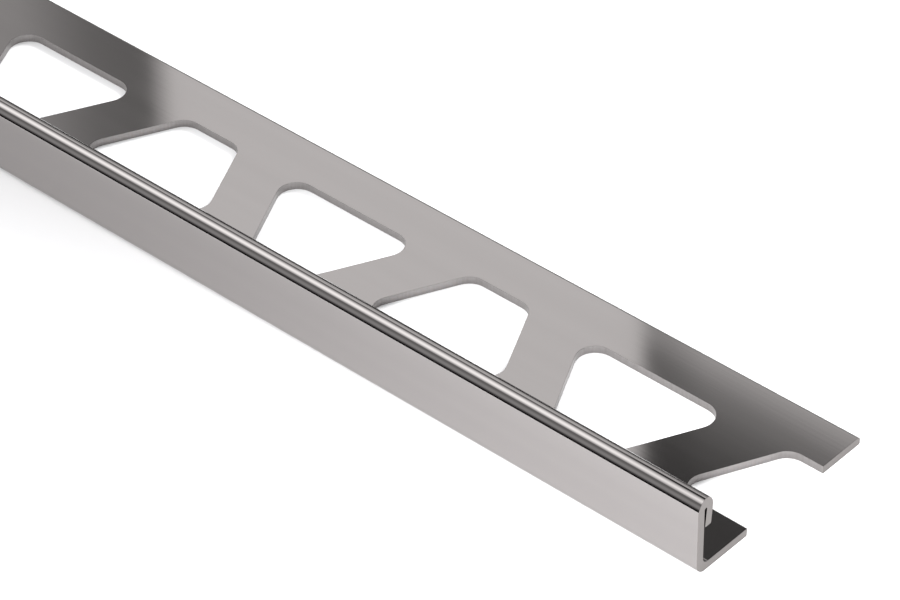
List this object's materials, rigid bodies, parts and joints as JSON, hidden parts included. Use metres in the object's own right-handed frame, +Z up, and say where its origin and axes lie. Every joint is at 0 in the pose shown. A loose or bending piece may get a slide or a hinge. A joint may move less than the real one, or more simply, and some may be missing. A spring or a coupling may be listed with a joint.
{
  "type": "tile edge trim",
  "caption": "Straight L-shaped stainless trim with a hemmed wall and a flange of punched trapezoid holes, laid under tiles to finish and protect their edge.",
  "frame": {"origin": "on the level that the flange lies on, under the middle of the trim's box", "axes": "+X along the trim towards the sawn end that the picture shows, +Y from the wall to the flange's outer edge, +Z up, the way the tiles lie on the flange"},
  "size_m": [1, 0.0276, 0.01],
  "materials": {
    "stainless_steel": "bright cold-rolled stainless steel, with matt sheared and sawn edges"
  },
  "bodies": {
    "root": {"edge_trim": "stainless_steel"}
  },
  "joints": []
}
